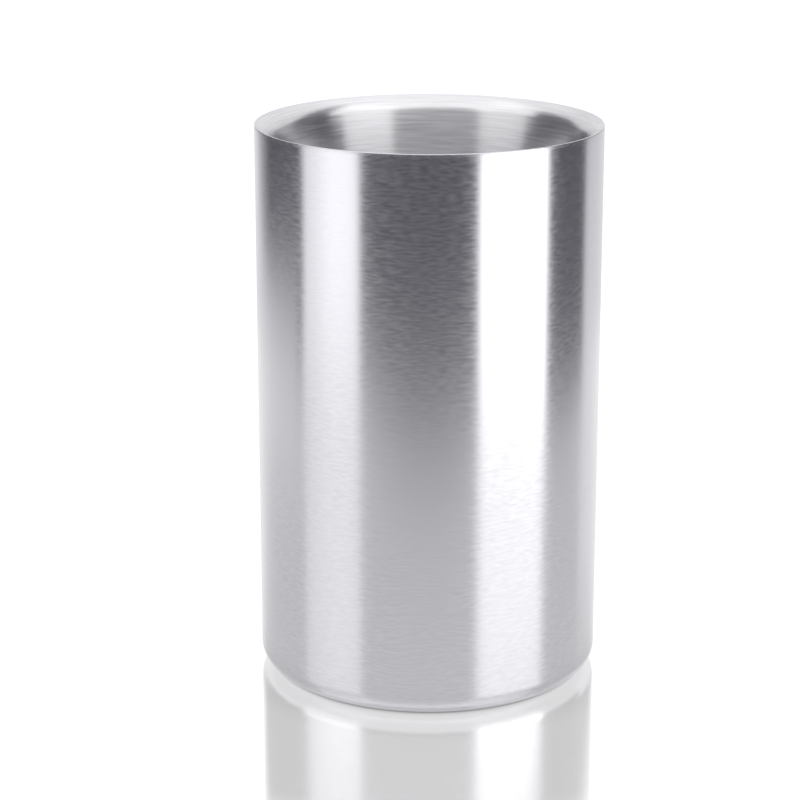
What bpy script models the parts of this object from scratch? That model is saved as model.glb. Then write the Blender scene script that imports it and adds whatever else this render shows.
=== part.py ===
"""Double-wall wine cooler in brushed stainless steel.

A straight shell tube with a rounded foot, a drawn liner cup whose flared mouth is welded to the
shell at the rim, and a base pan recessed into the shell's foot. Still air between the two walls
insulates the bottle. Metres, +Z up, origin at the centre of the ring that the cooler stands on.
Every piece is turned about Z, so each one is a half profile of (radius, height) points.
"""

import math

import bmesh
import bpy

# Driving dimensions.
OUTER_R = 0.060
HEIGHT = 0.195
WELL_R = 0.0472
SHELL_SHEET = 0.0006
LINER_SHEET = 0.0005
BASE_SHEET = 0.0006
FOOT_CORNER_R = 0.007
WELL_CORNER_R = 0.008
WELL_FLOOR_Z = 0.0086

# The rim: the shell leans in a little over its last few millimetres, then one small round edge
# turns into the liner's flare, which bends down into a throat that narrows slowly to the well.
RIM_EASE_H = 0.0035
RIM_EASE = 0.00005
RIM_EDGE_R = 0.0003
FLARE_DEG = 30
MOUTH_BEND_R = 0.0085
THROAT_DEG = 20
THROAT_R = 0.12
RIM_WELD_W = 0.0007
RIM_WELD_H = 0.0011

# The foot: a flat standing ring, then a lip turned up inside it that the base pan sits in.
STANDING_RING_IN_R = 0.0495
LIP_BEND_R = 0.0015
LIP_TOP_Z = 0.0050
PAN_RECESS_Z = 0.0033
PAN_FLANGE_END_Z = 0.0012
PAN_BEND_R = 0.001
PAN_STEP_H = 0.0008
PAN_STEP_OUT_R = 0.034
PAN_STEP_IN_R = 0.031
BASE_WELD_R = 0.00045

# The pieces between and through the walls.
VENT_HOLE_R = 0.0022
PLUG_HEAD_R = 0.0045
PLUG_HEAD_H = 0.0012
PLUG_BARB_R = 0.0028
PLUG_BARB_H = 0.0013
PAD_IN_R = 0.010
PAD_OUT_R = 0.029

# Clearances: GAP between pieces that touch, FIT between sheets that are pressed together.
GAP = 0.0003
FIT = 0.0001

STEPS = 64
PLUG_STEPS = 32

flare_cos = math.cos(math.radians(FLARE_DEG))
flare_sin = math.sin(math.radians(FLARE_DEG))
edge_centre = (OUTER_R - RIM_EASE - RIM_EDGE_R, HEIGHT - RIM_EDGE_R)
flare_top = (
    edge_centre[0] - RIM_EDGE_R * flare_sin,
    edge_centre[1] + RIM_EDGE_R * flare_cos,
)


def arc(centre, radius, start_deg, end_deg, segments):
    """Points along an arc in the (radius, height) plane, both ends included."""
    angles = [start_deg + (end_deg - start_deg) * i / segments for i in range(segments + 1)]
    return [
        (
            centre[0] + radius * math.cos(math.radians(angle)),
            centre[1] + radius * math.sin(math.radians(angle)),
        )
        for angle in angles
    ]


def along_flare(distance):
    """The point on the liner's flare this far down from the round edge of the rim."""
    return (flare_top[0] - distance * flare_cos, flare_top[1] - distance * flare_sin)


def eased_radius(z):
    """The shell's outer radius, which leans in by RIM_EASE over its last RIM_EASE_H."""
    share = max(0.0, (z - (HEIGHT - RIM_EASE_H)) / RIM_EASE_H)
    return OUTER_R - RIM_EASE * share**2


def make_material(name, colour, roughness, metallic):
    material = bpy.data.materials.new(name)
    material.use_nodes = True
    shader = material.node_tree.nodes["Principled BSDF"]
    shader.inputs["Base Color"].default_value = (*colour, 1.0)
    shader.inputs["Roughness"].default_value = roughness
    shader.inputs["Metallic"].default_value = metallic
    return material


def turned(name, profile, material, sheet=None, closed=False, steps=STEPS):
    """A profile turned about Z. With sheet, an open surface thickened behind its facing side."""
    mesh = bpy.data.meshes.new(name)
    outline = bmesh.new()
    points = [outline.verts.new((radius, 0.0, z)) for radius, z in profile]
    for first, second in zip(points, points[1:], strict=False):
        outline.edges.new((first, second))
    if closed:
        outline.edges.new((points[-1], points[0]))
    outline.to_mesh(mesh)
    outline.free()
    mesh.materials.append(material)
    piece = bpy.data.objects.new(name, mesh)
    parts.objects.link(piece)

    screw = piece.modifiers.new("turn", "SCREW")
    screw.axis = "Z"
    screw.angle = math.tau
    screw.steps = steps
    screw.render_steps = steps
    screw.use_smooth_shade = True
    screw.use_merge_vertices = True
    screw.merge_threshold = 0.00001
    if sheet:
        thicken = piece.modifiers.new("sheet", "SOLIDIFY")
        thicken.thickness = sheet
        thicken.offset = -1.0
        thicken.use_even_offset = True
    return piece


def make_outer_shell():
    """The visible tube, its rounded foot, the standing ring and the lip turned up inside it."""
    top_z = HEIGHT - RIM_WELD_H - FIT
    ease_z = HEIGHT - RIM_EASE_H
    foot_centre = (OUTER_R - FOOT_CORNER_R, FOOT_CORNER_R)
    lip_centre = (STANDING_RING_IN_R, LIP_BEND_R)
    profile = [
        (eased_radius(top_z), top_z),
        (eased_radius((top_z + ease_z) / 2), (top_z + ease_z) / 2),
        (OUTER_R, ease_z),
        *arc(foot_centre, FOOT_CORNER_R, 0, -90, 6),
        *arc(lip_centre, LIP_BEND_R, -90, -180, 3),
        (STANDING_RING_IN_R - LIP_BEND_R, LIP_TOP_Z),
    ]
    return turned("outer_shell", profile, brushed_steel, sheet=SHELL_SHEET)


def make_inner_liner():
    """The drawn cup: flat floor, rounded corner, straight wall, slow throat and flared mouth."""
    floor_centre = (WELL_R - WELL_CORNER_R, WELL_FLOOR_Z + WELL_CORNER_R)
    throat_cos = math.cos(math.radians(THROAT_DEG))
    throat_sin = math.sin(math.radians(THROAT_DEG))
    throat_top_r = WELL_R + THROAT_R * (1 - throat_cos)
    bend_top_r = throat_top_r + MOUTH_BEND_R * (throat_cos - flare_sin)
    bend_top_z = along_flare((flare_top[0] - bend_top_r) / flare_cos)[1]
    bend_centre = (throat_top_r + MOUTH_BEND_R * throat_cos, bend_top_z - MOUTH_BEND_R * flare_cos)
    throat_top_z = bend_centre[1] + MOUTH_BEND_R * throat_sin
    throat_centre = (WELL_R + THROAT_R, throat_top_z - THROAT_R * throat_sin)
    profile = [
        (0.0, WELL_FLOOR_Z),
        *arc(floor_centre, WELL_CORNER_R, -90, 0, 6),
        *arc(throat_centre, THROAT_R, 180, 180 - THROAT_DEG, 6),
        *arc(bend_centre, MOUTH_BEND_R, 180 - THROAT_DEG, 90 + FLARE_DEG, 5)[1:],
        along_flare(RIM_WELD_W + FIT),
    ]
    return turned("inner_liner", profile, liner_steel, sheet=LINER_SHEET)


def make_rim_weld_bead():
    """The ground weld that closes the two walls at the rim and makes its round edge."""
    foot_z = HEIGHT - RIM_WELD_H
    inner_r = OUTER_R - RIM_EASE - SHELL_SHEET - FIT
    weld_end = along_flare(RIM_WELD_W)
    under = (
        weld_end[0] + LINER_SHEET * flare_sin,
        weld_end[1] - LINER_SHEET * flare_cos,
    )
    profile = [
        *reversed(arc(edge_centre, RIM_EDGE_R, 90, 90 + FLARE_DEG, 2)),
        *reversed(arc(edge_centre, RIM_EDGE_R, 0, 90, 4)[:-1]),
        (eased_radius(foot_z), foot_z),
        (inner_r, foot_z),
        (inner_r, under[1]),
        under,
        weld_end,
    ]
    return turned("rim_weld_bead", profile, weld_steel, closed=True)


def make_base_plate():
    """The pan pressed into the foot: a flange turned down, a stiffening step and a vent hole."""
    flange_r = STANDING_RING_IN_R - LIP_BEND_R - FIT - BASE_SHEET
    bend_centre = (flange_r - PAN_BEND_R, PAN_RECESS_Z - PAN_BEND_R)
    profile = [
        (flange_r, PAN_FLANGE_END_Z),
        *arc(bend_centre, PAN_BEND_R, 0, 90, 3),
        (PAN_STEP_OUT_R, PAN_RECESS_Z),
        (PAN_STEP_IN_R, PAN_RECESS_Z + PAN_STEP_H),
        (VENT_HOLE_R, PAN_RECESS_Z + PAN_STEP_H),
    ]
    return turned("base_plate", profile, pan_steel, sheet=BASE_SHEET)


def make_base_weld_bead():
    """The round weld in the groove between the shell's lip and the pan's flange."""
    centre_r = STANDING_RING_IN_R - LIP_BEND_R - FIT - BASE_SHEET / 2
    centre = (centre_r, PAN_FLANGE_END_Z - FIT - BASE_WELD_R)
    profile = arc(centre, BASE_WELD_R, 90, -225, 7)
    return turned("base_weld_bead", profile, weld_steel, closed=True)


def make_liner_support_pad():
    """A foam ring on the pan that carries the middle of the liner's floor."""
    low_z = PAN_RECESS_Z + PAN_STEP_H + BASE_SHEET + GAP
    high_z = WELL_FLOOR_Z - LINER_SHEET - GAP
    profile = [
        (PAD_OUT_R, high_z),
        (PAD_OUT_R, low_z),
        (PAD_IN_R, low_z),
        (PAD_IN_R, high_z),
    ]
    return turned("liner_support_pad", profile, foam, closed=True)


def make_vent_plug():
    """The plug pushed up through the pan's vent hole, with a domed head and a barb above it."""
    plate_low_z = PAN_RECESS_Z + PAN_STEP_H
    plate_high_z = plate_low_z + BASE_SHEET
    stem_r = VENT_HOLE_R - GAP
    head_top_z = plate_low_z - GAP
    barb_low_z = plate_high_z + GAP
    dome_h = PLUG_HEAD_H / 2
    profile = [
        (0.0, barb_low_z + PLUG_BARB_H),
        (stem_r * 0.6, barb_low_z + PLUG_BARB_H),
        (PLUG_BARB_R, barb_low_z + GAP),
        (PLUG_BARB_R, barb_low_z),
        (stem_r, barb_low_z),
        (stem_r, head_top_z),
        (PLUG_HEAD_R, head_top_z),
        (PLUG_HEAD_R, head_top_z - dome_h),
        (PLUG_HEAD_R - dome_h, head_top_z - PLUG_HEAD_H + dome_h / 4),
        (0.0, head_top_z - PLUG_HEAD_H),
    ]
    return turned("vent_plug", profile, grey_rubber, steps=PLUG_STEPS)


for old in list(bpy.data.objects):
    bpy.data.objects.remove(old)
parts = bpy.data.collections.new("wine_cooler")
bpy.context.scene.collection.children.link(parts)

brushed_steel = make_material("brushed_steel", (0.62, 0.62, 0.63), 0.30, 1.0)
liner_steel = make_material("liner_steel", (0.60, 0.60, 0.60), 0.28, 1.0)
weld_steel = make_material("weld_steel", (0.66, 0.66, 0.67), 0.22, 1.0)
pan_steel = make_material("pan_steel", (0.55, 0.55, 0.56), 0.35, 1.0)
foam = make_material("foam", (0.16, 0.16, 0.17), 0.90, 0.0)
grey_rubber = make_material("grey_rubber", (0.09, 0.09, 0.10), 0.60, 0.0)

make_outer_shell()
make_inner_liner()
make_rim_weld_bead()
make_base_plate()
make_base_weld_bead()
make_liner_support_pad()
make_vent_plug()
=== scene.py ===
"""Looks of the double-wall wine cooler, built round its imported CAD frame.

Every piece is turned about Z from a fine half profile of (radius, height) points, and stands for
the CAD node of the same place. The steel is brushed round the axis, so its reflections are drawn
out upright and stay sharp sideways.
"""

import math

import bmesh
import bpy
import numpy as np
from mathutils import Matrix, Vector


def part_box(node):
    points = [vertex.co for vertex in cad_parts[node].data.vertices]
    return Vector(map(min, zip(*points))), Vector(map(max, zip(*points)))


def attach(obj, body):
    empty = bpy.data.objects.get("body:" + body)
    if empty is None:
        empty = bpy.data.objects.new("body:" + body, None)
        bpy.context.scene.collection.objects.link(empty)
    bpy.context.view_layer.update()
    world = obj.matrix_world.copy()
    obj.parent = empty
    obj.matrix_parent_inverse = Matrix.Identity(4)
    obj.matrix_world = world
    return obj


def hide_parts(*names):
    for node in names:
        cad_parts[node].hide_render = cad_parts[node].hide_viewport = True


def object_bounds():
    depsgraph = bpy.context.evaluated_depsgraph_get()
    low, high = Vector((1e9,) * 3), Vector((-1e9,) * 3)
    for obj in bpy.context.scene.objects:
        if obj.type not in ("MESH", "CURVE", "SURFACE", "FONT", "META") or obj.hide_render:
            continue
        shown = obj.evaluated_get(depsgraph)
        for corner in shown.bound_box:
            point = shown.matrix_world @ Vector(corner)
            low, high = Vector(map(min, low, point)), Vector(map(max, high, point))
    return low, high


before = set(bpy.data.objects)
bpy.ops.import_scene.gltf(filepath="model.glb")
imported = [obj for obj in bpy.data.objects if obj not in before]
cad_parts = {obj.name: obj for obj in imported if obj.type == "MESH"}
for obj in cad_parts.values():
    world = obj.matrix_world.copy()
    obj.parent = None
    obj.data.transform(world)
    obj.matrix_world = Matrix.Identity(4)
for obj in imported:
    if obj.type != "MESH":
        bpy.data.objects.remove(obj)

cad_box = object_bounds()

# Sizes read from the frame.
shell_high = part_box("outer_shell")[1]
liner_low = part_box("inner_liner")[0]
pan_low, pan_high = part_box("base_plate")
pad_low, pad_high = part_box("liner_support_pad")
plug_low, plug_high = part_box("vent_plug")
weld_low, weld_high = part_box("base_weld_bead")
HEIGHT = cad_box[1].z
OUTER_R = shell_high.x

# The two walls and the well, as the CAD model has them.
SHELL_SHEET = 0.0006
LINER_SHEET = 0.0005
WELL_FLOOR_Z = liner_low.z + LINER_SHEET
WELL_R = 0.0472
WELL_CORNER_R = 0.008
FOOT_CORNER_R = 0.007

# The rim, as the CAD model has it.
RIM_EASE_H = 0.0035
RIM_EASE = 0.00005
RIM_EDGE_R = 0.0003
FLARE_DEG = 30
MOUTH_BEND_R = 0.0085
THROAT_DEG = 20
THROAT_R = 0.12
RIM_WELD_W = 0.0007
RIM_WELD_H = 0.0011

# The foot and the pan recessed into it.
STANDING_RING_IN_R = 0.0495
LIP_BEND_R = 0.0015
LIP_TOP_Z = 0.0050
BASE_SHEET = 0.0006
PAN_RECESS_Z = 0.0033
PAN_BEND_R = 0.001
PAN_STEP_H = 0.0008
PAN_STEP_OUT_R = 0.034
PAN_STEP_IN_R = 0.031
VENT_HOLE_R = 0.0022
PAD_IN_R = 0.010

# The weld in the foot: its sides, its steps round the axis, and its ripples and their depth.
BEAD_SIDES = 16
BEAD_STEPS = 1600
BEAD_RIPPLES = 170
BEAD_RIPPLE = 0.04

# The plug: its barb, the round edge and the moulded ring of its head, and its clearances.
PLUG_STEPS = 96
PLUG_BARB_R = 0.0028
PLUG_BARB_EDGE_H = 0.0003
PLUG_TIP_SHARE = 0.6
PLUG_EDGE_R = 0.0006
PLUG_RING_R = (0.0020, 0.0017, 0.0014)
PLUG_RING_H = 0.0002
PLUG_GAP = 0.0002
PLUG_HEAD_GAP = 0.0001

# The meshes: steps round the axis, the radius below which a point lies on it, the pitch of points
# along a straight and along the pan, how close to a straight's ends the last points lie, and the
# least angle that stays sharp.
STEPS = 256
ON_AXIS_R = 0.000001
WALL_PITCH = 0.006
PAN_PITCH = 0.004
SUPPORT = 0.0004
SHARP_DEG = 30

# The marks on the steel: the coarse ones' share, how far all of them move its roughness, and the
# quarter turn that lays its brushing round the axis.
COARSE_SHARE = 0.15
ROUGH_SPREAD = 0.023
BRUSH_TURN = 0.25
# How far the skin of the foam and the rubber moves their colour and roughness.
SKIN_TONE = 0.2
SKIN_ROUGH_SPREAD = 0.08

# The studio: a drum of soft boxes and dark cards round the cooler, with soft light above them.
# Azimuths are in degrees from the camera's side of the cooler towards +X. A band runs from its own
# azimuth to the next one's, and blends in over its width. Heights are above the table.
DRUM_R = 0.50
DRUM_Z = (-0.40, 1.60)
DRUM_SIDES = 128
# (azimuth, level, width) up to the height of the cooler's rim.
LOW_BANDS = (
    (-180, 1.15, 4),
    (-163, 0.95, 4),
    (-135.3, 0.10, 26),
    (-85.2, 1.36, 2),
    (-70, 1.78, 14),
    (-43, 0.08, 2),
    (31.3, 2.90, 4),
    (78.9, 0.135, 2),
    (117.8, 0.90, 3),
    (163, 1.15, 4),
)
# (azimuth, level, width) above the rim. The levels are those at one height, and rise with height.
HIGH_LEVEL_Z = 0.40
HIGH_SLOPE = 2.2
HIGH_BANDS = (
    (-180, 1.65, 4),
    (-149, 0.20, 8),
    (-84, 1.00, 4),
    (-42.3, 0.455, 2),
    (31, 1.18, 2),
    (74.5, 0.14, 3),
    (102, 0.22, 6),
    (151, 1.65, 8),
)
# (azimuth, height) at which the upper bands take over from the lower ones.
RIM_EDGE = (
    (-180, 0.16),
    (-125, 0.16),
    (-110, 0.21),
    (110, 0.21),
    (120, 0.16),
    (180, 0.16),
)
# (azimuth, level, width) of the soft light above, whose levels rise with height too.
TOP_LEVEL_Z = 0.60
TOP_SLOPE = 0.6
TOP_BANDS = (
    (-180, 1.16, 4),
    (-110, 1.40, 20),
    (31.7, 1.55, 4),
    (90, 1.22, 10),
)
# (azimuth, height) at which the soft light above takes over.
TOP_EDGE = (
    (-180, 0.17),
    (-168, 0.185),
    (-155, 0.25),
    (-142, 0.30),
    (-136, 0.44),
    (-130, 0.50),
    (-118, 0.64),
    (-104, 0.62),
    (-93, 0.43),
    (-44, 0.45),
    (-40, 0.74),
    (0, 0.80),
    (28, 0.62),
    (33, 0.44),
    (88, 0.43),
    (91, 0.50),
    (96, 0.74),
    (102, 0.95),
    (111, 1.10),
    (117, 0.85),
    (121, 0.45),
    (130, 0.30),
    (143, 0.25),
    (155, 0.21),
    (168, 0.17),
    (180, 0.17),
)
# (azimuth, height) of the lit gap between the table and the cards.
FOOT_EDGE = (
    (-180, 0.0),
    (-160, 0.0),
    (-150, 0.077),
    (-135, 0.045),
    (-92, 0.031),
    (-84, DRUM_Z[0]),
    (168, DRUM_Z[0]),
    (172, 0.0),
    (180, 0.0),
)
FOOT_LEVEL = 0.92
# The heights over which the levels blend at the three edges above.
RIM_BLEND = 0.08
TOP_BLEND = 0.08
FOOT_BLEND = 0.02
# The level of the light overhead, and the heights over which it takes over.
OVERHEAD_LEVEL = 1.42
OVERHEAD_BLEND = (0.90, 1.30)
# What the cards and the lights add in blue.
CARD_BLUE = 0.018

# The white table that the cooler stands on, and the floor round it.
TABLE_X = (-0.57, 0.395)
TABLE_Y = (-0.385, 0.90)
FAR_FLOOR_R = 7.0
# The table's own light: it starts over these radii, which paints a dark contact shadow where the
# cooler stands, with a painted soft shade round the foot, and a fainter light inside the standing
# ring shows the underside.
TABLE_GLOW = 1.10
CONTACT_R = (0.0530, 0.0570)
SHADE_R = (0.0620, 0.0800)
SHADE = 0.12
INSIDE_R = (0.0515, 0.0530)
INSIDE_LIGHT = 0.80
# The table's shine, with the radii over which it ends: as the steel sees it, and as a camera does.
TABLE_ROUGHNESS = 0.05
TABLE_SHINE = 0.29
TABLE_SHINE_R = (0.20, 0.42)
MIRROR_SHINE = 0.50
MIRROR_SHINE_R = (0.125, 0.160)
# The white screen over the table: its inner and outer radius, its height, how far a ray has to come
# to see it, and the bounces that a ray may have made.
SCREEN_R = (0.064, 0.499)
SCREEN_Z = 0.08
SCREEN_REACH = (0.10, 0.18)
SCREEN_BOUNCES = 1
SCREEN_STEPS = 96
SCREEN_LEVEL = 1.10

# The camera, from the photograph's perspective.
CAMERA_DISTANCE = 0.8296
CAMERA_HEIGHT = 0.3393
CAMERA_PITCH_DEG = 16.36
CAMERA_YAW_DEG = 0.693
CAMERA_LENS = 109.89
CAMERA_SENSOR = 36.0


# Profiles in the (radius, height) plane.


def arc(centre, radius, start_deg, end_deg, segments):
    """Points along an arc, both ends included."""
    angles = np.radians(np.linspace(start_deg, end_deg, segments + 1))
    return [(centre[0] + radius * math.cos(a), centre[1] + radius * math.sin(a)) for a in angles]


def run(start, end, pitch=WALL_PITCH):
    """Points between two ends, which are left out, with one close to each to hold the shading."""
    start, end = np.array(start), np.array(end)
    length = float(np.linalg.norm(end - start))
    if length < 3 * SUPPORT:
        return []
    count = max(1, round((length - 2 * SUPPORT) / pitch))
    inner = np.linspace(SUPPORT / length, 1 - SUPPORT / length, count + 1)
    return [tuple(start + share * (end - start)) for share in inner]


def thickened(points, sheet):
    """A closed outline: the points, and back along their offset to the right of their way."""
    line = np.array(points)
    ways = np.diff(line, axis=0)
    ways /= np.linalg.norm(ways, axis=1)[:, None]
    sides = np.stack([ways[:, 1], -ways[:, 0]], axis=1)
    first, last = sides[:1], sides[-1:]
    mitre = np.concatenate([first, sides[:-1] + sides[1:], last])
    mitre[1:-1] /= (1 + np.sum(sides[:-1] * sides[1:], axis=1))[:, None]
    back = line + mitre * sheet
    back[:, 0] = np.maximum(back[:, 0], 0.0)
    return [tuple(p) for p in line] + [tuple(p) for p in back[::-1]]


flare_cos = math.cos(math.radians(FLARE_DEG))
flare_sin = math.sin(math.radians(FLARE_DEG))
edge_centre = (OUTER_R - RIM_EASE - RIM_EDGE_R, HEIGHT - RIM_EDGE_R)
flare_top = (
    edge_centre[0] - RIM_EDGE_R * flare_sin,
    edge_centre[1] + RIM_EDGE_R * flare_cos,
)


def along_flare(distance):
    """The point on the liner's flare this far down from the round edge of the rim."""
    return (flare_top[0] - distance * flare_cos, flare_top[1] - distance * flare_sin)


def eased_radius(z):
    """The shell's outer radius, which leans in by RIM_EASE over its last RIM_EASE_H."""
    share = max(0.0, (z - (HEIGHT - RIM_EASE_H)) / RIM_EASE_H)
    return OUTER_R - RIM_EASE * share**2


# Meshes.


def turned_piece(name, outline, steps=STEPS, ripple=None):
    """A closed outline turned about Z into one closed mesh, smooth but for its sharp corners.
    ripple(angle) scales the outline about its middle, for a weld bead."""
    points = np.array(outline)
    middle = points.mean(axis=0)
    built = bmesh.new()
    rings = []
    for radius, z in points:
        if radius < ON_AXIS_R and ripple is None:
            rings.append([built.verts.new((0.0, 0.0, z))] * steps)
            continue
        ring = []
        for step in range(steps):
            angle = math.tau * step / steps
            scale = ripple(angle) if ripple else 1.0
            r = middle[0] + (radius - middle[0]) * scale if ripple else radius
            h = middle[1] + (z - middle[1]) * scale if ripple else z
            ring.append(built.verts.new((r * math.cos(angle), r * math.sin(angle), h)))
        rings.append(ring)
    for lower, upper in zip(rings, rings[1:] + rings[:1], strict=True):
        for step in range(steps):
            corners = []
            after = (step + 1) % steps
            for vert in (lower[step], lower[after], upper[after], upper[step]):
                if vert not in corners:
                    corners.append(vert)
            if len(corners) > 2:
                built.faces.new(corners)
    bmesh.ops.recalc_face_normals(built, faces=built.faces)
    mesh = bpy.data.meshes.new(name)
    built.to_mesh(mesh)
    built.free()
    mesh.shade_smooth()
    mesh.set_sharp_from_angle(angle=math.radians(SHARP_DEG))
    piece = bpy.data.objects.new(name, mesh)
    bpy.context.scene.collection.objects.link(piece)
    return piece


def shell_outline():
    """The outer wall from the rim weld down, its rounded foot and the lip inside the foot."""
    top_z = HEIGHT - RIM_WELD_H
    ease_z = HEIGHT - RIM_EASE_H
    foot_centre = (OUTER_R - FOOT_CORNER_R, FOOT_CORNER_R)
    lip_centre = (STANDING_RING_IN_R, LIP_BEND_R)
    lip_r = STANDING_RING_IN_R - LIP_BEND_R
    eased = [(eased_radius(z), z) for z in np.linspace(top_z, ease_z, 13)]
    foot = arc(foot_centre, FOOT_CORNER_R, 0, -90, 32)
    lip = arc(lip_centre, LIP_BEND_R, -90, -180, 12)
    line = [
        *eased,
        *run(eased[-1], foot[0]),
        *foot,
        *run(foot[-1], lip[0]),
        *lip,
        *run(lip[-1], (lip_r, LIP_TOP_Z)),
        (lip_r, LIP_TOP_Z),
    ]
    return thickened(line, SHELL_SHEET)


def liner_outline():
    """The cup from the middle of its floor, up its wall and throat, to the end of its flare."""
    floor_centre = (WELL_R - WELL_CORNER_R, WELL_FLOOR_Z + WELL_CORNER_R)
    throat_cos = math.cos(math.radians(THROAT_DEG))
    throat_sin = math.sin(math.radians(THROAT_DEG))
    throat_top_r = WELL_R + THROAT_R * (1 - throat_cos)
    bend_top_r = throat_top_r + MOUTH_BEND_R * (throat_cos - flare_sin)
    bend_top_z = along_flare((flare_top[0] - bend_top_r) / flare_cos)[1]
    bend_centre = (throat_top_r + MOUTH_BEND_R * throat_cos, bend_top_z - MOUTH_BEND_R * flare_cos)
    throat_top_z = bend_centre[1] + MOUTH_BEND_R * throat_sin
    throat_centre = (WELL_R + THROAT_R, throat_top_z - THROAT_R * throat_sin)
    corner = arc(floor_centre, WELL_CORNER_R, -90, 0, 24)
    throat = arc(throat_centre, THROAT_R, 180, 180 - THROAT_DEG, 24)
    bend = arc(bend_centre, MOUTH_BEND_R, 180 - THROAT_DEG, 90 + FLARE_DEG, 32)
    end = along_flare(RIM_WELD_W)
    line = [
        (0.0, WELL_FLOOR_Z),
        *run((0.0, WELL_FLOOR_Z), corner[0]),
        *corner,
        *run(corner[-1], throat[0]),
        *throat,
        *bend[1:],
        end,
    ]
    return thickened(line, LINER_SHEET)


def rim_weld_outline():
    """The ground weld: the round edge of the rim, down to the shell and to the flare."""
    foot_z = HEIGHT - RIM_WELD_H
    inner_r = OUTER_R - RIM_EASE - SHELL_SHEET
    end = along_flare(RIM_WELD_W)
    under = (end[0] + LINER_SHEET * flare_sin, end[1] - LINER_SHEET * flare_cos)
    edge = arc(edge_centre, RIM_EDGE_R, 90 + FLARE_DEG, 0, 24)
    eased = [(eased_radius(z), z) for z in np.linspace(edge[-1][1], foot_z, 5)[1:]]
    return [end, *edge, *eased, (inner_r, foot_z), (inner_r, under[1]), under]


def pan_outline():
    """The base pan: flange, bend, flat ring, stiffening step and vent hole."""
    flange_r = pan_high.x - BASE_SHEET
    flange_z = pan_low.z
    bend_centre = (flange_r - PAN_BEND_R, PAN_RECESS_Z - PAN_BEND_R)
    step_z = PAN_RECESS_Z + PAN_STEP_H
    bend = arc(bend_centre, PAN_BEND_R, 0, 90, 12)
    middle = (PAN_STEP_OUT_R + PAN_STEP_IN_R) / 2
    half = (PAN_STEP_OUT_R - PAN_STEP_IN_R) / 2
    step = [
        (middle - half * t, PAN_RECESS_Z + PAN_STEP_H * (1 + math.sin(t * math.pi / 2)) / 2)
        for t in np.linspace(-1, 1, 17)
    ]
    line = [
        (flange_r, flange_z),
        *bend,
        *run(bend[-1], step[0], pitch=PAN_PITCH),
        *step,
        *run(step[-1], (VENT_HOLE_R, step_z), pitch=PAN_PITCH),
        (VENT_HOLE_R, step_z),
    ]
    return thickened(line, BASE_SHEET)


def pad_outline():
    """The foam ring between the pan and the cup's floor."""
    return [
        (pad_high.x, pad_high.z),
        (pad_high.x, pad_low.z),
        (PAD_IN_R, pad_low.z),
        (PAD_IN_R, pad_high.z),
    ]


def plug_outline():
    """The plug: its barb above the pan, its stem, and its head below with a moulded ring."""
    head_r = plug_high.x
    head_z = PAN_RECESS_Z + PAN_STEP_H
    stem_r = VENT_HOLE_R - PLUG_GAP
    barb_z = head_z + BASE_SHEET + PLUG_GAP
    edge_middle = (head_r - PLUG_EDGE_R, plug_low.z + PLUG_EDGE_R)
    return [
        (0.0, plug_high.z),
        (stem_r * PLUG_TIP_SHARE, plug_high.z),
        (PLUG_BARB_R, barb_z + PLUG_BARB_EDGE_H),
        (PLUG_BARB_R, barb_z),
        (stem_r, barb_z),
        (stem_r, head_z - PLUG_HEAD_GAP),
        (head_r, head_z - PLUG_HEAD_GAP),
        *arc(edge_middle, PLUG_EDGE_R, 0, -90, 6),
        (PLUG_RING_R[0], plug_low.z),
        (PLUG_RING_R[1], plug_low.z + PLUG_RING_H),
        (PLUG_RING_R[2], plug_low.z),
        (0.0, plug_low.z),
    ]


def base_weld():
    """The round weld bead in the foot, with the ripples of its passes."""
    bead_r = (weld_high.z - weld_low.z) / 2
    centre = (weld_high.x - bead_r, (weld_high.z + weld_low.z) / 2)

    def ripple(angle):
        return 1 - BEAD_RIPPLE + BEAD_RIPPLE * abs(math.cos(angle * BEAD_RIPPLES))

    outline = arc(centre, bead_r, 0, 360, BEAD_SIDES)[:-1]
    return turned_piece("base_weld", outline, steps=BEAD_STEPS, ripple=ripple)


def stand_for(node, piece, material):
    """Put a piece in place of a CAD node."""
    piece.data.materials.append(material)
    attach(piece, "root")
    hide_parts(node)


def build_pieces():
    """Every visible piece, each in place of its CAD node."""
    wall = turned_piece("shell_wall", shell_outline())
    cup = turned_piece("liner_cup", liner_outline())
    rim_weld = turned_piece("rim_weld", rim_weld_outline())
    pan = turned_piece("base_pan", pan_outline())
    foot_weld = base_weld()
    pad = turned_piece("support_foam", pad_outline())
    plug = turned_piece("vent_plug_rubber", plug_outline(), steps=PLUG_STEPS)
    stand_for("outer_shell", wall, shell_steel)
    stand_for("inner_liner", cup, liner_steel)
    stand_for("rim_weld_bead", rim_weld, rim_steel)
    stand_for("base_plate", pan, pan_steel)
    stand_for("base_weld_bead", foot_weld, weld_steel)
    stand_for("liner_support_pad", pad, foam)
    stand_for("vent_plug", plug, rubber)


# Node trees.


def add(tree, kind, inputs=None, **settings):
    """A new node, with its settings, and each input set to a value or linked to an output."""
    node = tree.nodes.new(kind)
    for key, value in settings.items():
        setattr(node, key, value)
    for key, value in (inputs or {}).items():
        if isinstance(value, bpy.types.NodeSocket):
            tree.links.new(value, node.inputs[key])
        else:
            node.inputs[key].default_value = value
    return node


def maths(tree, operation, first, second=0.0, third=0.0):
    """The output of a Math node."""
    inputs = {0: first, 1: second, 2: third}
    return add(tree, "ShaderNodeMath", inputs, operation=operation).outputs[0]


def blend(tree, value, low, high):
    """0 below low and 1 above high, smooth between."""
    inputs = {"Value": value, "From Min": low, "From Max": high}
    node = add(tree, "ShaderNodeMapRange", inputs, interpolation_type="SMOOTHSTEP")
    return node.outputs["Result"]


def mix(tree, share, first, second):
    """first where share is 0 and second where it is 1."""
    return add(tree, "ShaderNodeMix", {0: share, 2: first, 3: second}, data_type="FLOAT").outputs[0]


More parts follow.
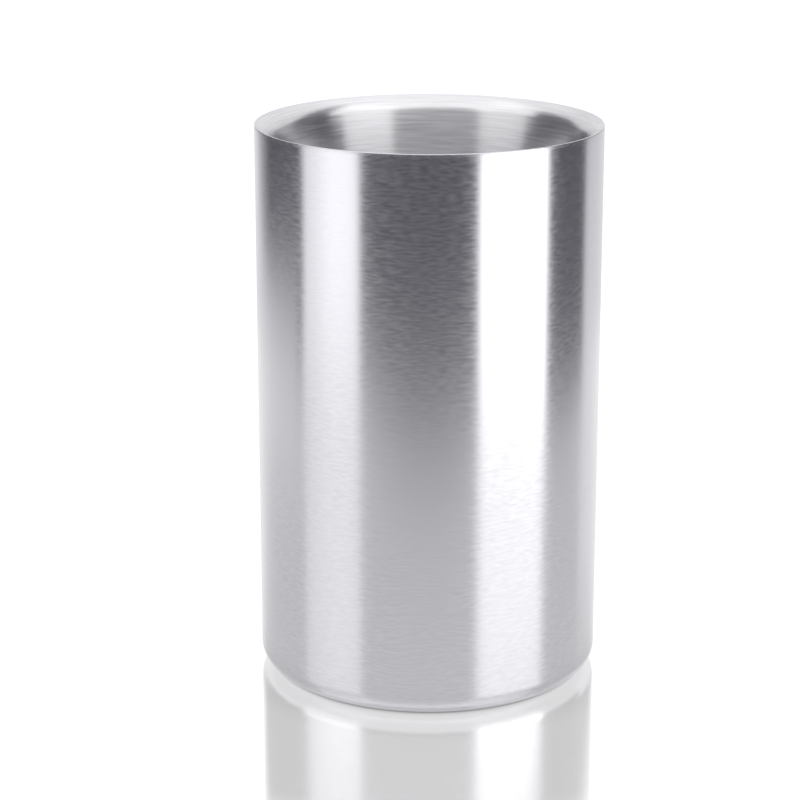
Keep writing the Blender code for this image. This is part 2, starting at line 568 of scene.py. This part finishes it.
def lathe_point(tree, around, along):
    """A coordinate for marks left by turning: slow round the axis, fast along the profile."""
    place = add(tree, "ShaderNodeTexCoord").outputs["Object"]
    apart = add(tree, "ShaderNodeSeparateXYZ", {0: place})
    flat = add(tree, "ShaderNodeCombineXYZ", {0: apart.outputs[0], 1: apart.outputs[1]})
    radius = add(tree, "ShaderNodeVectorMath", {0: flat.outputs[0]}, operation="LENGTH")
    turn = add(tree, "ShaderNodeVectorMath", {0: flat.outputs[0]}, operation="NORMALIZE")
    scaled = add(
        tree, "ShaderNodeVectorMath", {0: turn.outputs[0], "Scale": around}, operation="SCALE"
    )
    travel = maths(tree, "ADD", apart.outputs[2], radius.outputs["Value"])
    up = add(tree, "ShaderNodeCombineXYZ", {2: maths(tree, "MULTIPLY", travel, along)})
    total = add(
        tree, "ShaderNodeVectorMath", {0: scaled.outputs[0], 1: up.outputs[0]}, operation="ADD"
    )
    return total.outputs[0]


def noise(tree, point, detail, scale=1.0):
    """Noise round a middle value of 0.5."""
    inputs = {"Vector": point, "Scale": scale, "Detail": detail}
    return add(tree, "ShaderNodeTexNoise", inputs).outputs["Fac"]


def spread(tree, value, low, high):
    """Noise between about 0.3 and 0.7 stretched to run from low to high."""
    inputs = {"Value": value, "From Min": 0.3, "From Max": 0.7, "To Min": low, "To Max": high}
    return add(tree, "ShaderNodeMapRange", inputs).outputs["Result"]


def turned_steel(name, colour, roughness, fine, coarse, tone, bump, anisotropy):
    """Steel brushed or spun round the axis. fine and coarse are (around, along) mark scales, tone
    is how much the marks change its colour, and bump their depth in metres."""
    material = bpy.data.materials.new(name)
    material.use_nodes = True
    tree = material.node_tree
    shader = tree.nodes["Principled BSDF"]
    fine_marks = noise(tree, lathe_point(tree, *fine), detail=0.3)
    coarse_marks = noise(tree, lathe_point(tree, *coarse), detail=1.0)
    marks = mix(tree, COARSE_SHARE, fine_marks, coarse_marks)
    shade = spread(tree, marks, 1 - tone, 1 + tone)
    tint = add(tree, "ShaderNodeVectorMath", {0: colour, "Scale": shade}, operation="SCALE")
    tree.links.new(tint.outputs[0], shader.inputs["Base Color"])
    rough = spread(tree, marks, roughness - ROUGH_SPREAD, roughness + ROUGH_SPREAD)
    tree.links.new(rough, shader.inputs["Roughness"])
    relief = add(tree, "ShaderNodeBump", {"Height": marks, "Distance": bump})
    tree.links.new(relief.outputs[0], shader.inputs["Normal"])
    tangent = add(tree, "ShaderNodeTangent", direction_type="RADIAL", axis="Z")
    tree.links.new(tangent.outputs[0], shader.inputs["Tangent"])
    shader.inputs["Metallic"].default_value = 1.0
    shader.inputs["Anisotropic"].default_value = anisotropy
    shader.inputs["Anisotropic Rotation"].default_value = BRUSH_TURN
    return material


def dull_material(name, colour, roughness, grain, bump):
    """A matt rubber or foam. grain is the scale of its skin, and bump its depth in metres."""
    material = bpy.data.materials.new(name)
    material.use_nodes = True
    tree = material.node_tree
    shader = tree.nodes["Principled BSDF"]
    place = add(tree, "ShaderNodeTexCoord").outputs["Object"]
    speckle = noise(tree, place, detail=3.0, scale=grain)
    shade = spread(tree, speckle, 1 - SKIN_TONE, 1 + SKIN_TONE)
    tint = add(tree, "ShaderNodeVectorMath", {0: colour, "Scale": shade}, operation="SCALE")
    tree.links.new(tint.outputs[0], shader.inputs["Base Color"])
    rough = spread(tree, speckle, roughness - SKIN_ROUGH_SPREAD, roughness + SKIN_ROUGH_SPREAD)
    tree.links.new(rough, shader.inputs["Roughness"])
    relief = add(tree, "ShaderNodeBump", {"Height": speckle, "Distance": bump})
    tree.links.new(relief.outputs[0], shader.inputs["Normal"])
    return material


# The stage.


def ramp(tree, azimuth, points):
    """The value at this azimuth, straight between points of (azimuth in degrees, value)."""
    share = maths(tree, "MULTIPLY_ADD", azimuth, 1 / math.tau, 0.5)
    node = add(tree, "ShaderNodeValToRGB", {0: share})
    values = [value for _, value in points]
    least = min(values)
    span = max(values) - least
    stops = node.color_ramp.elements
    for at, _ in points[1:-1]:
        stops.new((at + 180) / 360)
    for stop, value in zip(stops, values, strict=True):
        stop.color = ((value - least) / span,) * 3 + (1,)
    return maths(tree, "MULTIPLY_ADD", node.outputs[0], span, least)


def band_points(bands):
    """The points of a ramp that stays level in each band and blends between them."""
    points = [(bands[0][0], bands[0][1])]
    for before, (start, value, width) in zip(bands, bands[1:], strict=False):
        points += [(start - width / 2, before[1]), (start + width / 2, value)]
    return [*points, (180, bands[-1][1])]


def make_world():
    """An even white surround, for what the camera sees past the floor."""
    world = bpy.data.worlds.new("studio")
    world.use_nodes = True
    bpy.context.scene.world = world
    world.node_tree.nodes["Background"].inputs["Color"].default_value = (1, 1, 1, 1)


def make_drum_material():
    """The levels of the soft boxes and cards, by azimuth and height."""
    material = bpy.data.materials.new("studio_drum")
    material.use_nodes = True
    tree = material.node_tree
    tree.nodes.clear()
    place = add(tree, "ShaderNodeTexCoord").outputs["Object"]
    apart = add(tree, "ShaderNodeSeparateXYZ", {0: place})
    height = apart.outputs[2]
    towards = maths(tree, "MULTIPLY", apart.outputs[1], -1.0)
    azimuth = maths(tree, "ARCTAN2", apart.outputs[0], towards)
    low = ramp(tree, azimuth, band_points(LOW_BANDS))
    high_rise = maths(tree, "MULTIPLY_ADD", height, HIGH_SLOPE, 1 - HIGH_SLOPE * HIGH_LEVEL_Z)
    high = maths(tree, "MULTIPLY", ramp(tree, azimuth, band_points(HIGH_BANDS)), high_rise)
    top_rise = maths(tree, "MULTIPLY_ADD", height, TOP_SLOPE, 1 - TOP_SLOPE * TOP_LEVEL_Z)
    top = maths(tree, "MULTIPLY", ramp(tree, azimuth, band_points(TOP_BANDS)), top_rise)
    over = maths(tree, "SUBTRACT", height, ramp(tree, azimuth, RIM_EDGE))
    above = maths(tree, "SUBTRACT", height, ramp(tree, azimuth, TOP_EDGE))
    under = maths(tree, "SUBTRACT", height, ramp(tree, azimuth, FOOT_EDGE))
    level = mix(tree, blend(tree, over, -RIM_BLEND / 2, RIM_BLEND / 2), low, high)
    level = mix(tree, blend(tree, above, -TOP_BLEND / 2, TOP_BLEND / 2), level, top)
    level = mix(tree, blend(tree, height, *OVERHEAD_BLEND), level, OVERHEAD_LEVEL)
    level = mix(tree, blend(tree, under, -FOOT_BLEND / 2, FOOT_BLEND / 2), FOOT_LEVEL, level)
    blue = maths(tree, "ADD", level, CARD_BLUE)
    colour = add(tree, "ShaderNodeCombineColor", {"Red": level, "Green": level, "Blue": blue})
    glow = add(tree, "ShaderNodeEmission", {"Color": colour.outputs[0]})
    out = add(tree, "ShaderNodeOutputMaterial")
    tree.links.new(glow.outputs[0], out.inputs[0])
    return material


def make_drum():
    """The soft boxes and cards round the cooler, which light it and which its steel reflects."""
    built = bmesh.new()
    low_z, high_z = DRUM_Z
    middle = Matrix.Translation((0, 0, (low_z + high_z) / 2))
    bmesh.ops.create_cone(
        built,
        cap_ends=True,
        segments=DRUM_SIDES,
        radius1=DRUM_R,
        radius2=DRUM_R,
        depth=high_z - low_z,
        matrix=middle,
    )
    mesh = bpy.data.meshes.new("studio_drum")
    built.to_mesh(mesh)
    built.free()
    mesh.materials.append(make_drum_material())
    drum = bpy.data.objects.new("studio_drum", mesh)
    bpy.context.scene.collection.objects.link(drum)
    drum.visible_camera = False


def make_floor_material():
    """A pale table lit from within, glossy near the cooler, and open from below so that the
    cooler's underside can be seen."""
    material = bpy.data.materials.new("floor")
    material.use_nodes = True
    tree = material.node_tree
    tree.nodes.clear()
    place = add(tree, "ShaderNodeTexCoord").outputs["Object"]
    away = add(tree, "ShaderNodeVectorMath", {0: place}, operation="LENGTH").outputs["Value"]
    # Painted contact shadow: the table's glow is dimmed in a soft ring round the foot and put out
    # where the cooler meets it.
    shade = mix(tree, blend(tree, away, *SHADE_R), 1 - SHADE, 1.0)
    inside = mix(tree, blend(tree, away, *INSIDE_R), INSIDE_LIGHT, 0.0)
    lit = maths(tree, "MULTIPLY_ADD", blend(tree, away, *CONTACT_R), shade, inside)
    strength = maths(tree, "MULTIPLY", lit, TABLE_GLOW)
    glow = add(tree, "ShaderNodeEmission", {"Strength": strength})
    shine_inputs = {"Color": (1, 1, 1, 1), "Roughness": TABLE_ROUGHNESS}
    shine = add(tree, "ShaderNodeBsdfGlossy", shine_inputs)
    camera_ray = add(tree, "ShaderNodeLightPath").outputs["Is Camera Ray"]
    plain = mix(tree, blend(tree, away, *TABLE_SHINE_R), TABLE_SHINE, 0.0)
    mirror = mix(tree, blend(tree, away, *MIRROR_SHINE_R), MIRROR_SHINE, 0.0)
    gloss = mix(tree, camera_ray, plain, mirror)
    both = add(tree, "ShaderNodeMixShader", {0: gloss, 1: glow.outputs[0], 2: shine.outputs[0]})
    clear = add(tree, "ShaderNodeBsdfTransparent")
    below = add(tree, "ShaderNodeNewGeometry").outputs["Backfacing"]
    whole = add(tree, "ShaderNodeMixShader", {0: below, 1: both.outputs[0], 2: clear.outputs[0]})
    out = add(tree, "ShaderNodeOutputMaterial")
    tree.links.new(whole.outputs[0], out.inputs[0])
    return material


def stage_mesh(name, outline, material, hole=()):
    """A flat piece of the stage, with a hole cut in it where a second outline is given."""
    built = bmesh.new()
    outer = [built.verts.new((x, y, 0.0)) for x, y in outline]
    inner = [built.verts.new((x, y, 0.0)) for x, y in hole]
    if inner:
        count = len(outer)
        for i in range(count):
            after = (i + 1) % count
            built.faces.new((inner[i], outer[i], outer[after], inner[after]))
    else:
        built.faces.new(outer)
    mesh = bpy.data.meshes.new(name)
    built.to_mesh(mesh)
    built.free()
    mesh.materials.append(material)
    sheet = bpy.data.objects.new(name, mesh)
    bpy.context.scene.collection.objects.link(sheet)
    return sheet


def make_screen_material():
    """White from below to the rays that the table mirrors, and clear to all others."""
    material = bpy.data.materials.new("screen")
    material.use_nodes = True
    tree = material.node_tree
    tree.nodes.clear()
    path = add(tree, "ShaderNodeLightPath")
    below = add(tree, "ShaderNodeNewGeometry").outputs["Backfacing"]
    first = maths(tree, "LESS_THAN", path.outputs["Ray Depth"], SCREEN_BOUNCES + 0.5)
    far = blend(tree, path.outputs["Ray Length"], *SCREEN_REACH)
    seen = maths(tree, "MULTIPLY", maths(tree, "MULTIPLY", first, below), far)
    glow = add(tree, "ShaderNodeEmission", {"Strength": SCREEN_LEVEL})
    clear = add(tree, "ShaderNodeBsdfTransparent")
    whole = add(tree, "ShaderNodeMixShader", {0: seen, 1: clear.outputs[0], 2: glow.outputs[0]})
    out = add(tree, "ShaderNodeOutputMaterial")
    tree.links.new(whole.outputs[0], out.inputs[0])
    return material


def make_screen():
    """A ring above the table, so that the table doesn't mirror the dark cards."""
    rings = [arc((0.0, 0.0), radius, 0, 360, SCREEN_STEPS)[:-1] for radius in SCREEN_R]
    screen = stage_mesh("screen", rings[1], make_screen_material(), hole=rings[0])
    screen.location.z = SCREEN_Z
    screen.visible_camera = False


def make_stage():
    """The table, and the floor round it that only the camera sees."""
    material = make_floor_material()
    table = [
        (TABLE_X[0], TABLE_Y[0]),
        (TABLE_X[1], TABLE_Y[0]),
        (TABLE_X[1], TABLE_Y[1]),
        (TABLE_X[0], TABLE_Y[1]),
    ]
    far = [
        (-FAR_FLOOR_R, -FAR_FLOOR_R),
        (FAR_FLOOR_R, -FAR_FLOOR_R),
        (FAR_FLOOR_R, FAR_FLOOR_R),
        (-FAR_FLOOR_R, FAR_FLOOR_R),
    ]
    stage_mesh("table", table, material)
    floor = stage_mesh("far_floor", far, material, hole=table)
    floor.visible_glossy = False
    floor.visible_diffuse = False


def make_camera():
    """The camera, in the photograph's place."""
    data = bpy.data.cameras.new("camera")
    data.lens = CAMERA_LENS
    data.sensor_width = CAMERA_SENSOR
    camera = bpy.data.objects.new("camera", data)
    camera.location = (0.0, -CAMERA_DISTANCE, CAMERA_HEIGHT)
    camera.rotation_euler = (
        math.radians(90 - CAMERA_PITCH_DEG),
        0.0,
        math.radians(CAMERA_YAW_DEG),
    )
    bpy.context.scene.collection.objects.link(camera)
    bpy.context.scene.camera = camera


bpy.context.scene.view_settings.view_transform = "Standard"
bpy.context.scene.cycles.glossy_bounces = 12

shell_steel = turned_steel(
    "shell_steel",
    colour=(0.602, 0.596, 0.624),
    roughness=0.243,
    fine=(20, 1500),
    coarse=(6, 600),
    tone=0.032,
    bump=0.000003,
    anisotropy=0.72,
)
# The liner's steel is set a little lighter than the shell's to brighten the inside of the cup,
# which is painted light.
liner_steel = turned_steel(
    "liner_steel",
    colour=(0.620, 0.617, 0.630),
    roughness=0.243,
    fine=(4, 1200),
    coarse=(2, 400),
    tone=0.06,
    bump=0.000006,
    anisotropy=0.72,
)
rim_steel = turned_steel(
    "rim_steel",
    colour=(0.60, 0.595, 0.625),
    roughness=0.28,
    fine=(18, 1500),
    coarse=(5, 500),
    tone=0.03,
    bump=0.000006,
    anisotropy=0.61,
)
pan_steel = turned_steel(
    "pan_steel",
    colour=(0.55, 0.546, 0.57),
    roughness=0.36,
    fine=(10, 1200),
    coarse=(3, 400),
    tone=0.08,
    bump=0.00002,
    anisotropy=0.8,
)
weld_steel = turned_steel(
    "weld_steel",
    colour=(0.52, 0.50, 0.47),
    roughness=0.30,
    fine=(60, 800),
    coarse=(20, 300),
    tone=0.10,
    bump=0.00002,
    anisotropy=0.0,
)
foam = dull_material("foam", colour=(0.10, 0.10, 0.11), roughness=0.85, grain=2500, bump=0.0002)
rubber = dull_material(
    "rubber", colour=(0.05, 0.05, 0.055), roughness=0.6, grain=6000, bump=0.00004
)

build_pieces()
make_world()
make_drum()
make_stage()
make_screen()
make_camera()
